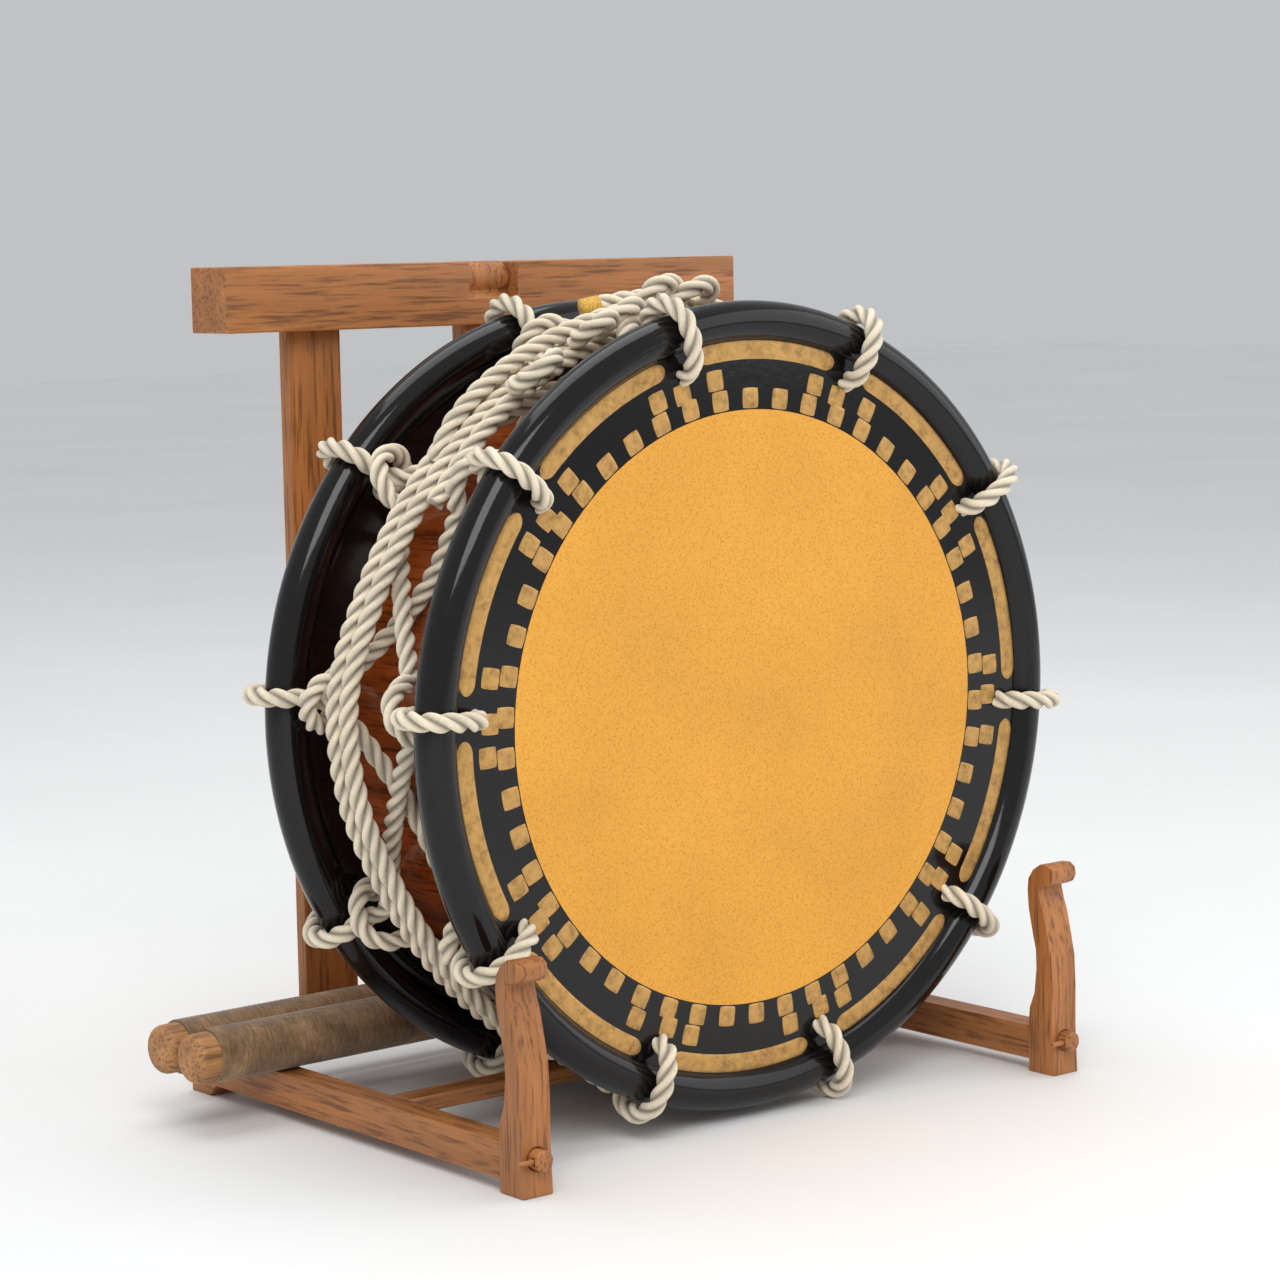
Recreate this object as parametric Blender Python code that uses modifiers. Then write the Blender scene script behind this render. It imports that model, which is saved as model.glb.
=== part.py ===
"""Rope-laced barrel drum on a knock-down wooden stand, with two sticks.

Metres, +Z up, front at -Y. The drum's axis runs along Y. The whole part is
moved at the end so that its bounding box stands centred on the origin.
"""
import math

import bmesh
import bpy
from mathutils import Matrix, Vector

# Fits
GAP = 0.0003

# Drum
DRUM_TURN = -4.0
RING_SPACING = 0.1106
RING_RADIUS = 0.1687
ROLL_RADIUS = 0.0088
HIDE_THICKNESS = 0.0018
RING_WIRE = 0.0050
SKIN_RECESS = 0.0057
FACE_EDGE = RING_RADIUS - 0.0082
SLIT_START = 235.0
SHELL_BELLY = 0.0015
SHELL_WALL = 0.0110
SHELL_CLEARANCE = 0.0004
HOLE_COUNT = 10
HOLE_RADIUS = 0.0065
HOLE_INSET = 0.0187
HOLE_CIRCLE = RING_RADIUS - HOLE_INSET
TURN_STEPS = 50

# Ropes
ROPE_RADIUS = 0.0043
ROPE_CLEARANCE = 0.0011
RIM_REACH = ROLL_RADIUS + ROPE_CLEARANCE + ROPE_RADIUS
INNER_ROUTE = HOLE_CIRCLE - 0.0038
OUTER_ROUTE = HOLE_CIRCLE + 0.0060
WINDING_TURNS = 2.25
WINDING_START = 55.0
WINDING_RADIUS = OUTER_ROUTE + 0.0112
WINDING_DEPTH = 0.0620
WINDING_PITCH = 0.0100
WINDING_POINTS = 24

# Where the ropes let the shell and the drum sit
SHELL_END_RADIUS = INNER_ROUTE - ROPE_RADIUS - SHELL_BELLY - SHELL_CLEARANCE
FLOOR_CLEARANCE = 0.0001
LOWEST_LOOP = math.radians(180.0 / HOLE_COUNT + DRUM_TURN)
DRUM_HEIGHT = (RING_RADIUS + RIM_REACH + ROPE_RADIUS) * math.cos(LOWEST_LOOP) + FLOOR_CLEARANCE
SEAT_CLEARANCE = 0.0002
SEAT_TOP = DRUM_HEIGHT - OUTER_ROUTE - ROPE_RADIUS - SEAT_CLEARANCE

# Stand
POST_X = 0.1531
POST_WIDTH = 0.0156
POST_FRONT = -0.0424
POST_DEPTH = 0.0163
RAIL_WIDTH = 0.0128
RAIL_BOTTOM = 0.0054
RAIL_TOP = 0.0212
RAIL_END = 0.2120
FOOT_LENGTH = 0.0150
TENON_RADIUS = 0.0045
TENON_REACH = 0.0043
PIN_RADIUS = 0.00125
PIN_LENGTH = 0.0166
PIN_OFFSET = 0.0030
CROSS_FRONT = 0.0573
CROSS_DEPTH = 0.0137
CROSS_THICKNESS = 0.0072
REAR_FRONT = 0.1880
REAR_DEPTH = 0.0160
REAR_HEIGHT = 0.0149
REAR_HALF = 0.1490
UPRIGHT_X = 0.09525
UPRIGHT_WIDTH = 0.0291
UPRIGHT_FRONT = 0.1897
UPRIGHT_DEPTH = 0.0073
TENON_DEPTH = 0.0100
BAR_HALF = 0.1486
BAR_FRONT = 0.1784
BAR_DEPTH = 0.0300
BAR_BOTTOM = 0.3477
BAR_HEIGHT = 0.0295
NOTCH_FLOOR = 0.3606
HOOK_WIDTH = 0.0280
HOOK_FRONT = 0.1840
HOOK_THICKNESS = 0.0106
HOOK_LENGTH = 0.1150
HOOK_ROLL = 0.0083
EDGE = 0.0008

# Sticks
STICK_LEFT = -0.2050
STICK_LENGTH = 0.3600
STICK_RADIUS = 0.0110
WRAP_THICKNESS = 0.0010
WRAP_INSET = 0.0110
STICK_FRONT_Y = 0.1442
STICK_SPACING = 0.0252
STICK_SLOPE = 0.0280

SIDES = {"left": -1, "right": 1}


def clear_scene():
    for item in list(bpy.data.objects):
        bpy.data.objects.remove(item, do_unlink=True)


def make_collection(name):
    group = bpy.data.collections.new(name)
    bpy.context.scene.collection.children.link(group)
    return group


def make_material(name, colour, roughness, metallic=0.0):
    material = bpy.data.materials.new(name)
    material.use_nodes = True
    shader = material.node_tree.nodes["Principled BSDF"]
    shader.inputs["Base Color"].default_value = (*colour, 1.0)
    shader.inputs["Roughness"].default_value = roughness
    shader.inputs["Metallic"].default_value = metallic
    return material


def place(item, group, material=None):
    """Move an object into its collection and give it its material."""
    for old in list(item.users_collection):
        old.objects.unlink(item)
    group.objects.link(item)
    if material is not None:
        item.data.materials.clear()
        item.data.materials.append(material)
    return item


def block(name, low, high, group, material=None, edge=0.0):
    """A box between two corners, from a primitive cube with applied scale."""
    low = Vector(low)
    high = Vector(high)
    bpy.ops.mesh.primitive_cube_add(size=1.0)
    item = bpy.context.object
    item.name = name
    item.data.transform(Matrix.Diagonal((*(high - low), 1.0)))
    item.location = (low + high) / 2
    place(item, group, material)
    if edge > 0.0:
        bevel = item.modifiers.new("edges", "BEVEL")
        bevel.width = edge
        bevel.segments = 1
    return item


def rod(name, start, end, radius, group, material=None, sides=16):
    """A round bar between two points, from a primitive cylinder."""
    start = Vector(start)
    end = Vector(end)
    axis = end - start
    bpy.ops.mesh.primitive_cylinder_add(radius=radius, depth=axis.length, vertices=sides)
    item = bpy.context.object
    item.name = name
    item.rotation_mode = "QUATERNION"
    item.rotation_quaternion = Vector((0, 0, 1)).rotation_difference(axis)
    item.location = (start + end) / 2
    place(item, group, material)
    return item


def as_cutter(item):
    item.hide_render = True
    item.display_type = "WIRE"
    return item


def boolean(item, other, operation="DIFFERENCE"):
    modifier = item.modifiers.new(operation.lower(), "BOOLEAN")
    modifier.operation = operation
    modifier.solver = "EXACT"
    modifier.object = other
    return modifier


def outline(name, points, centre_x, width, group, material):
    """A side view in (Y, Z) extruded along X, from a filled 2D curve."""
    curve = bpy.data.curves.new(name, "CURVE")
    curve.dimensions = "2D"
    curve.fill_mode = "BOTH"
    curve.extrude = width / 2
    spline = curve.splines.new("POLY")
    spline.points.add(len(points) - 1)
    for point, (along, up) in zip(spline.points, points):
        point.co = (along, up, 0.0, 1.0)
    spline.use_cyclic_u = True
    source = bpy.data.objects.new(name + "_curve", curve)
    group.objects.link(source)
    # Curve X becomes world Y, curve Y world Z and curve Z world X.
    turn = Matrix(((0, 0, 1, centre_x), (1, 0, 0, 0), (0, 1, 0, 0), (0, 0, 0, 1)))
    source.matrix_world = turn
    bpy.context.view_layer.update()
    graph = bpy.context.evaluated_depsgraph_get()
    mesh = bpy.data.meshes.new_from_object(source.evaluated_get(graph))
    solid = bmesh.new()
    solid.from_mesh(mesh)
    bmesh.ops.remove_doubles(solid, verts=solid.verts, dist=0.00001)
    solid.to_mesh(mesh)
    solid.free()
    item = bpy.data.objects.new(name, mesh)
    item.matrix_world = turn
    bpy.data.objects.remove(source, do_unlink=True)
    group.objects.link(item)
    mesh.materials.clear()
    mesh.materials.append(material)
    return item


def turned(name, profile, closed, depth, group, material, steps=TURN_STEPS):
    """A profile of (radius, forward) turned round the drum's axis at one depth."""
    mesh = bpy.data.meshes.new(name)
    edges = [(i, i + 1) for i in range(len(profile) - 1)]
    if closed:
        edges.append((len(profile) - 1, 0))
    mesh.from_pydata([(radius, 0.0, forward) for radius, forward in profile], edges, [])
    item = bpy.data.objects.new(name, mesh)
    group.objects.link(item)
    item.location = (0.0, depth, DRUM_HEIGHT)
    item.rotation_euler = (math.radians(90), 0.0, 0.0)
    screw = item.modifiers.new("turn", "SCREW")
    screw.axis = "Z"
    screw.steps = steps
    screw.render_steps = steps
    screw.use_merge_vertices = True
    screw.merge_threshold = 0.00005
    screw.use_smooth_shade = True
    mesh.materials.append(material)
    return item


def tube(name, points, radius, group, material, resolution=1):
    """A rope along a list of points, as a curve with filled ends."""
    curve = bpy.data.curves.new(name, "CURVE")
    curve.dimensions = "3D"
    curve.bevel_depth = radius
    curve.bevel_resolution = resolution
    curve.use_fill_caps = True
    spline = curve.splines.new("POLY")
    spline.points.add(len(points) - 1)
    for point, place_at in zip(spline.points, points):
        point.co = (*place_at, 1.0)
    item = bpy.data.objects.new(name, curve)
    group.objects.link(item)
    curve.materials.append(material)
    return item


def drum_point(radius, degrees, depth):
    """A point at a radius and angle round the drum's axis, seen from the front."""
    angle = math.radians(degrees)
    return Vector((radius * math.cos(angle), depth, DRUM_HEIGHT + radius * math.sin(angle)))


# Drum

def head_profile():
    """Flat skin, then the hide wrapped round the ring, with a slit left open."""
    face = ROLL_RADIUS - SKIN_RECESS
    inner = ROLL_RADIUS - HIDE_THICKNESS
    start = 150.0
    end = SLIT_START - 360.0
    count = 9
    angles = [math.radians(start + (end - start) * i / (count - 1)) for i in range(count)]
    points = [(0.0, face), (FACE_EDGE, face)]
    for angle in angles:
        points.append((RING_RADIUS + ROLL_RADIUS * math.cos(angle), ROLL_RADIUS * math.sin(angle)))
    for angle in reversed(angles):
        points.append((RING_RADIUS + inner * math.cos(angle), inner * math.sin(angle)))
    points.append((FACE_EDGE, face - HIDE_THICKNESS))
    points.append((0.0, face - HIDE_THICKNESS))
    return points


def shell_profile(length):
    outer = []
    count = 5
    for i in range(count):
        share = i / (count - 1)
        swell = SHELL_BELLY * math.sin(math.pi * share)
        outer.append((SHELL_END_RADIUS + swell, length / 2 - length * share))
    inner = [(radius - SHELL_WALL, forward) for radius, forward in reversed(outer)]
    return outer + inner


def make_holes(cutters, depth):
    """Ten round cutters through a head, in one object."""
    mesh = bpy.data.meshes.new("lacing_holes")
    cut = bmesh.new()
    for index in range(HOLE_COUNT):
        degrees = DRUM_TURN + 360.0 * index / HOLE_COUNT
        centre = drum_point(HOLE_CIRCLE, degrees, depth)
        matrix = Matrix.Translation(centre) @ Matrix.Rotation(math.radians(90), 4, "X")
        bmesh.ops.create_cone(
            cut, cap_ends=True, segments=10, radius1=HOLE_RADIUS, radius2=HOLE_RADIUS,
            depth=4 * ROLL_RADIUS, matrix=matrix)
    cut.to_mesh(mesh)
    cut.free()
    item = bpy.data.objects.new("lacing_holes", mesh)
    cutters.objects.link(item)
    return as_cutter(item)


def make_drum(parts, cutters, mats):
    face = ROLL_RADIUS - SKIN_RECESS
    edge = face - HIDE_THICKNESS - GAP
    length = RING_SPACING + 2 * edge
    turned("drum_shell", shell_profile(length), True, RING_SPACING / 2, parts, mats["body"])
    profile = head_profile()
    for name, depth, flip in (("front", 0.0, 1), ("back", RING_SPACING, -1)):
        head = turned(name + "_head", profile, False, depth, parts, mats["skin"])
        if flip < 0:
            head.rotation_euler = (math.radians(-90), 0.0, 0.0)
        boolean(head, make_holes(cutters, depth))
        bpy.ops.mesh.primitive_torus_add(
            major_radius=RING_RADIUS, minor_radius=RING_WIRE, major_segments=TURN_STEPS,
            minor_segments=6)
        ring = bpy.context.object
        ring.name = name + "_ring"
        ring.location = (0.0, depth, DRUM_HEIGHT)
        ring.rotation_euler = (math.radians(90), 0.0, 0.0)
        place(ring, parts, mats["iron"])


# Lacing

def rim_route():
    """Over the roll: (sideways, outside the hole circle, behind the ring)."""
    route = [(0.0, 0.0016, -0.0056), (0.0, 0.0052, -0.0110)]
    for degrees in (-100, -55, -15, 25, 60, 90):
        angle = math.radians(degrees)
        route.append((0.0, HOLE_INSET + RIM_REACH * math.cos(angle), RIM_REACH * math.sin(angle)))
    route.append((0.0003, 0.0134, 0.0178))
    route.append((0.0020, 0.0100, 0.0240))
    route.append((0.0070, 0.0075, 0.0305))
    return route


def hitch_route():
    """From the hole, round the outside of the rim leg and away from it."""
    return [
        (0.0000, 0.0003, 0.0045), (0.0036, 0.0008, 0.0100), (0.0098, 0.0056, 0.0136),
        (0.0114, 0.0132, 0.0172), (0.0072, 0.0204, 0.0212), (0.0002, 0.0234, 0.0246),
        (-0.0068, 0.0204, 0.0280), (-0.0112, 0.0136, 0.0312), (-0.0142, 0.0080, 0.0350)]


def on_drum(local, degrees, side, front):
    sideways, outside, behind = local
    radius = HOLE_CIRCLE + outside
    turn = math.degrees(side * sideways / radius)
    depth = behind if front else RING_SPACING - behind
    return radius, degrees + turn, depth


def lacing_route(start_front):
    """One rope from hole to hole, front and back by turns, ten loops round."""
    step = 360.0 / HOLE_COUNT
    middle = INNER_ROUTE if start_front else OUTER_ROUTE
    stops = []
    for index in range(HOLE_COUNT):
        front = (index % 2 == 0) == start_front
        side = 1 if index % 2 else -1
        degrees = DRUM_TURN + step * index
        rim = [on_drum(p, degrees, side, front) for p in rim_route()]
        hole = [on_drum((0.0, 0.0, -0.0010), degrees, side, front)]
        hitch = [on_drum(p, degrees, side, front) for p in hitch_route()]
        if side > 0:
            stops.append(hitch[::-1] + hole + rim)
        else:
            stops.append(rim[::-1] + hole + hitch)
    route = []
    for index, stop in enumerate(stops):
        route += stop
        if index == HOLE_COUNT - 1:
            break
        route += leg(stop[-1], stops[index + 1][0], middle)
    return [drum_point(*p) for p in route]


def leg(start, end, middle):
    """The slanting run between two loops, drawn in under the winding."""
    points = []
    for share in (0.25, 0.5, 0.75):
        drawn = 1.0 if share == 0.5 else 0.75
        radius = start[0] + (middle - start[0]) * drawn
        degrees = start[1] + (end[1] - start[1]) * share
        points.append((radius, degrees, start[2] + (end[2] - start[2]) * share))
    return points


def bump(degrees, centre, width):
    away = (degrees - centre + 180.0) % 360.0 - 180.0
    return math.exp(-(away / width) ** 2)


def winding_route():
    """Turns round the waist that drift forward under the drum."""
    count = int(WINDING_POINTS * WINDING_TURNS)
    points = []
    for index in range(count + 1):
        turned_by = 360.0 * WINDING_TURNS * index / count
        degrees = WINDING_START + turned_by
        depth = WINDING_DEPTH - WINDING_PITCH * turned_by / 360.0
        depth += 0.0120 * bump(degrees, 180.0, 20.0) - 0.0070 * bump(degrees, 270.0, 34.0)
        radius = WINDING_RADIUS + 0.0030 * bump(degrees, 180.0, 24.0)
        points.append(drum_point(radius, degrees, depth))
    return points


def least_gap(first, second, skip=0):
    """Least distance between two ropes' surfaces, on points along their routes."""
    def fine(route):
        return [a.lerp(b, s / 4) for a, b in zip(route, route[1:]) for s in range(4)]
    one = fine(first)
    two = fine(second)
    least = 1.0
    for i, a in enumerate(one):
        for j, b in enumerate(two):
            if skip and abs(i - j) < skip:
                continue
            least = min(least, (a - b).length)
    return least - 2 * ROPE_RADIUS


def make_ropes(parts, mats):
    first = lacing_route(True)
    second = lacing_route(False)
    winding = winding_route()
    tube("lacing_rope_a", first, ROPE_RADIUS, parts, mats["rope"])
    tube("lacing_rope_b", second, ROPE_RADIUS, parts, mats["rope"])
    tube("waist_rope", winding, ROPE_RADIUS, parts, mats["rope"])
    print("gap a to b", least_gap(first, second))
    print("gap a to winding", least_gap(first, winding))
    print("gap b to winding", least_gap(second, winding))
    print("gap winding to itself", least_gap(winding, winding, 30))
    print("gap a to itself", least_gap(first, first, 22))
    print("gap b to itself", least_gap(second, second, 22))


# Stand

POST_OUTLINE = (
    (0.0000, 0.0000), (0.0010, 0.0230), (0.0008, 0.0410), (0.0015, 0.0550),
    (0.0034, 0.0640), (0.0061, 0.0756), (0.0080, 0.0806), (0.0096, 0.0870),
    (0.0080, 0.0885), (0.0052, 0.0880), (0.0020, 0.0895), (0.0004, 0.0925),
    (0.0010, 0.0960), (0.0038, 0.0980), (0.0085, 0.0978), (0.0130, 0.0950),
    (0.0160, 0.0905), (0.0166, 0.0850), (0.0160, 0.0775), (0.0150, 0.0725),
    (0.0131, 0.0640), (0.0115, 0.0580), (0.0112, 0.0490), (0.0125, 0.0375),
    (0.0156, 0.0300), (0.0163, 0.0230), (0.0163, 0.0000))


def make_feet(parts, cutters, mats):
    """Foot rails, their front posts and the pins that lock the tenons."""
    back = POST_FRONT + POST_DEPTH
    shoulder = back + GAP
    centre_z = (RAIL_TOP + RAIL_BOTTOM) / 2 + 0.0025
    tip = POST_FRONT - TENON_REACH
    pin_y = POST_FRONT - TENON_REACH / 2
    for side, sign in SIDES.items():
        x = sign * POST_X
        foot = RAIL_END - FOOT_LENGTH
        side_view = (
            (shoulder, RAIL_BOTTOM), (foot - RAIL_BOTTOM, RAIL_BOTTOM), (foot, 0.0),
            (RAIL_END, 0.0), (RAIL_END, RAIL_TOP), (shoulder, RAIL_TOP))
        rail = outline(side + "_foot_rail", side_view, x, RAIL_WIDTH, parts, mats["wood"])
        inside = shoulder + TENON_REACH
        tenon = rod("tenon", (x, inside, centre_z), (x, tip, centre_z), TENON_RADIUS, cutters)
        boolean(rail, as_cutter(tenon), "UNION")
        reach = TENON_RADIUS * 2
        drill = rod("pin_hole", (x - reach, pin_y, centre_z), (x + reach, pin_y, centre_z),
                    PIN_RADIUS + GAP, cutters, sides=10)
        boolean(rail, as_cutter(drill))
        shape = [(POST_FRONT + along, up) for along, up in POST_OUTLINE]
        post = outline(side + "_front_post", shape, x, POST_WIDTH, parts, mats["wood"])
        bore = rod("mortise", (x, back + POST_DEPTH, centre_z), (x, tip - POST_DEPTH, centre_z),
                   TENON_RADIUS + GAP, cutters)
        boolean(post, as_cutter(bore))
        pin_left = x - PIN_OFFSET - PIN_LENGTH / 2
        rod(side + "_wedge_pin", (pin_left, pin_y, centre_z),
            (pin_left + PIN_LENGTH, pin_y, centre_z), PIN_RADIUS, parts, mats["wood"], sides=8)


def make_frame(parts, cutters, mats):
    """Cross rail, rear rail, uprights, notched bar and the hooked centre post."""
    inner = POST_X - RAIL_WIDTH / 2 - GAP
    block("cross_rail", (-inner, CROSS_FRONT, SEAT_TOP - CROSS_THICKNESS),
          (inner, CROSS_FRONT + CROSS_DEPTH, SEAT_TOP), parts, mats["wood"], EDGE)
    rear_low = RAIL_TOP + GAP
    rear_top = rear_low + REAR_HEIGHT
    rear = block("rear_rail", (-REAR_HALF, REAR_FRONT, rear_low),
                 (REAR_HALF, REAR_FRONT + REAR_DEPTH, rear_top), parts, mats["wood"])
    bar_top = BAR_BOTTOM + BAR_HEIGHT
    bar = block("top_bar", (-BAR_HALF, BAR_FRONT, BAR_BOTTOM),
                (BAR_HALF, BAR_FRONT + BAR_DEPTH, bar_top), parts, mats["wood"])
    for side, sign in SIDES.items():
        x = sign * UPRIGHT_X
        half = UPRIGHT_WIDTH / 2
        low = (x - half, UPRIGHT_FRONT, rear_top - TENON_DEPTH)
        high = (x + half, UPRIGHT_FRONT + UPRIGHT_DEPTH, BAR_BOTTOM + TENON_DEPTH)
        block(side + "_upright", low, high, parts, mats["wood"])
        slack = Vector((GAP, GAP, GAP))
        socket = block("upright_socket", Vector(low) - slack, Vector(high) + slack, cutters)
        boolean(rear, as_cutter(socket))
        boolean(bar, socket)
    half = HOOK_WIDTH / 2 + GAP
    hook_back = HOOK_FRONT + HOOK_THICKNESS
    above = bar_top + BAR_HEIGHT
    slot = block("hook_slot", (-half, HOOK_FRONT - GAP, BAR_BOTTOM - BAR_HEIGHT),
                 (half, hook_back + GAP, above), cutters)
    boolean(bar, as_cutter(slot))
    roll_y = HOOK_FRONT + 0.0014 + HOOK_ROLL
    notch = block("hook_notch", (-half, BAR_FRONT - BAR_DEPTH, NOTCH_FLOOR),
                  (half, roll_y + HOOK_ROLL + GAP, above), cutters)
    boolean(bar, as_cutter(notch))
    make_hook(parts, mats, roll_y)


def make_hook(parts, mats, roll_y):
    """The centre post: a roll that sits in the notch and a curved tail below."""
    roll_z = NOTCH_FLOOR + GAP + HOOK_ROLL
    front = HOOK_FRONT
    back = HOOK_FRONT + HOOK_THICKNESS
    shape = []
    count = 13
    for index in range(count):
        angle = math.radians(-60.0 + 285.0 * index / (count - 1))
        shape.append((roll_y + HOOK_ROLL * math.cos(angle), roll_z + HOOK_ROLL * math.sin(angle)))
    low = NOTCH_FLOOR - HOOK_LENGTH
    shape += [
        (front, NOTCH_FLOOR), (front, low + 0.075), (front - 0.004, low + 0.050),
        (front - 0.010, low + 0.030), (front - 0.013, low + 0.012), (front - 0.012, low)]
    shape += [
        (back - 0.016, low), (back - 0.013, low + 0.014), (back - 0.008, low + 0.034),
        (back - 0.003, low + 0.054), (back, low + 0.076), (back, NOTCH_FLOOR + GAP)]
    outline("hook_post", shape, 0.0, HOOK_WIDTH, parts, mats["wood"])


# Sticks

def make_sticks(parts, mats):
    height = RAIL_TOP + GAP + WRAP_THICKNESS + GAP + STICK_RADIUS
    direction = Vector((1.0, STICK_SLOPE, 0.0)).normalized()
    for name, offset in (("front_stick", 0.0), ("rear_stick", STICK_SPACING)):
        start_y = STICK_FRONT_Y + offset + STICK_SLOPE * (STICK_LEFT + 0.071)
        start = Vector((STICK_LEFT, start_y, height))
        end = start + direction * STICK_LENGTH
        stick = rod(name, start, end, STICK_RADIUS, parts, mats["stick"], sides=20)
        bevel = stick.modifiers.new("end", "BEVEL")
        bevel.width = 0.003
        bevel.segments = 2
        make_wrap(name + "_wrap", start + direction * WRAP_INSET, end - direction * WRAP_INSET,
                  parts, mats["cloth"])


def make_wrap(name, start, end, parts, material):
    """A cloth sleeve round a stick, as a turned tube."""
    inner = STICK_RADIUS + GAP
    outer = inner + WRAP_THICKNESS
    length = (end - start).length
    profile = [(outer, length), (outer, 0.0), (inner, 0.0), (inner, length)]
    mesh = bpy.data.meshes.new(name)
    mesh.from_pydata([(r, 0.0, z) for r, z in profile], [(0, 1), (1, 2), (2, 3), (3, 0)], [])
    item = bpy.data.objects.new(name, mesh)
    parts.objects.link(item)
    item.rotation_mode = "QUATERNION"
    item.rotation_quaternion = Vector((0, 0, 1)).rotation_difference(end - start)
    item.location = start
    screw = item.modifiers.new("turn", "SCREW")
    screw.steps = 20
    screw.render_steps = 20
    screw.use_merge_vertices = True
    screw.merge_threshold = 0.00005
    mesh.materials.append(material)
    return item


def stand_on_origin(parts, cutters):
    """Move everything so that the bounding box stands centred on the origin."""
    bpy.context.view_layer.update()
    graph = bpy.context.evaluated_depsgraph_get()
    corners = []
    for item in parts.objects:
        shape = item.evaluated_get(graph)
        mesh = shape.to_mesh()
        corners += [item.matrix_world @ vertex.co for vertex in mesh.vertices]
        shape.to_mesh_clear()
    low = Vector([min(p[axis] for p in corners) for axis in range(3)])
    high = Vector([max(p[axis] for p in corners) for axis in range(3)])
    shift = Vector(((low.x + high.x) / 2, (low.y + high.y) / 2, low.z))
    for item in list(parts.objects) + list(cutters.objects):
        item.location = item.location - shift
    print("shift", tuple(shift), "size", tuple(high - low))


def main():
    clear_scene()
    parts = make_collection("laced_drum")
    cutters = make_collection("cutters")
    mats = {
        "body": make_material("body_wood", (0.30, 0.05, 0.01), 0.2),
        "skin": make_material("skin", (0.79, 0.38, 0.05), 0.5),
        "iron": make_material("iron", (0.1, 0.1, 0.1), 0.6, 1.0),
        "rope": make_material("rope", (0.75, 0.62, 0.43), 0.8),
        "wood": make_material("stand_wood", (0.30, 0.09, 0.02), 0.6),
        "stick": make_material("stick_wood", (0.45, 0.19, 0.05), 0.6),
        "cloth": make_material("wrap_cloth", (0.21, 0.12, 0.04), 0.9)}
    make_drum(parts, cutters, mats)
    make_ropes(parts, mats)
    make_feet(parts, cutters, mats)
    make_frame(parts, cutters, mats)
    make_sticks(parts, mats)
    stand_on_origin(parts, cutters)


main()
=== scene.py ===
import math

import bmesh
import bpy
import numpy as np
from mathutils import Matrix, Vector


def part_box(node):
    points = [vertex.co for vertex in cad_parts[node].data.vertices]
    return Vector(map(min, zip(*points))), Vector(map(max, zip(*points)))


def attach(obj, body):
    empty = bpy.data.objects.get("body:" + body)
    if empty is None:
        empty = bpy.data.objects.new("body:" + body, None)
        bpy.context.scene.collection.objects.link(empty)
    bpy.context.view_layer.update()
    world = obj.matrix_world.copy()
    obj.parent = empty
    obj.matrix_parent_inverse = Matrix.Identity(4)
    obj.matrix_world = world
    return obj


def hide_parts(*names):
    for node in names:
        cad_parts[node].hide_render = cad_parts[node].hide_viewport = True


bl_info = {
    "name": "Rope-Laced Drum",
    "version": (1, 0, 0),
    "blender": (4, 5, 0),
    "location": "3D View > Sidebar > Laced Drum",
    "description": "Dresses a rope-laced drum, its stand and its sticks",
    "category": "Add Mesh",
}

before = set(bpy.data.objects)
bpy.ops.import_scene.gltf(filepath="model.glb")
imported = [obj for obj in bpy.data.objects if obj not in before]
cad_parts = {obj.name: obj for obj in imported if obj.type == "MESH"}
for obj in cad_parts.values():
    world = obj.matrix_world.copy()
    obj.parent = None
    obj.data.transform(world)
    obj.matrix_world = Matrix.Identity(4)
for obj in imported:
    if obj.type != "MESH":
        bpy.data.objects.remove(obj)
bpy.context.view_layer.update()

# Places taken from the frame
SHELL_LOW, SHELL_HIGH = (np.array(corner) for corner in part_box("drum_shell"))
CENTRE = (SHELL_LOW + SHELL_HIGH) / 2

# Drum, as in the part
RING_SPACING = 0.1106
RING_RADIUS = 0.1687
ROLL_RADIUS = 0.0088
HIDE_THICKNESS = 0.0018
SKIN_RECESS = 0.0057
FACE_EDGE = RING_RADIUS - 0.0082
SLIT_START = 235.0
HOLE_COUNT = 10
HOLE_STEP = 360.0 / HOLE_COUNT
HOLE_INSET = 0.0187
HOLE_CIRCLE = RING_RADIUS - HOLE_INSET
DRUM_TURN = -4.0
FRONT_DEPTH = CENTRE[1] - RING_SPACING / 2
FACE = ROLL_RADIUS - SKIN_RECESS

# Ropes, as in the part
ROPE_RADIUS = 0.0043
ROPE_CLEARANCE = 0.0011
RIM_REACH = ROLL_RADIUS + ROPE_CLEARANCE + ROPE_RADIUS
INNER_ROUTE = HOLE_CIRCLE - 0.0038
OUTER_ROUTE = HOLE_CIRCLE + 0.0060
WINDING_TURNS = 2.25
WINDING_START = 55.0
WINDING_RADIUS = OUTER_ROUTE + 0.0112
WINDING_DEPTH = 0.0620
WINDING_PITCH = 0.0100
WINDING_POINTS = 24

# Shell, as in the part
SHELL_BELLY = 0.0015
SHELL_WALL = 0.0110
SHELL_CLEARANCE = 0.0004
SHELL_END_RADIUS = INNER_ROUTE - ROPE_RADIUS - SHELL_BELLY - SHELL_CLEARANCE

# Knots on top of the winding: degrees, depth, width, height and lean of each bight
BIGHTS = (
    (93.0, 0.046, 0.0085, 0.0145, 0.006), (88.5, 0.040, 0.0075, 0.0130, 0.009),
    (104.0, 0.033, 0.0070, 0.0100, 0.010), (109.0, 0.032, 0.0070, 0.0090, 0.010),
    (121.0, 0.031, 0.0090, 0.0075, 0.012))
BIGHT_LIFT = 0.004
UPPER_PASS_RADIUS = 0.1752
TAIL_RADIUS = 0.1790
TAIL_POINTS = 10

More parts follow.
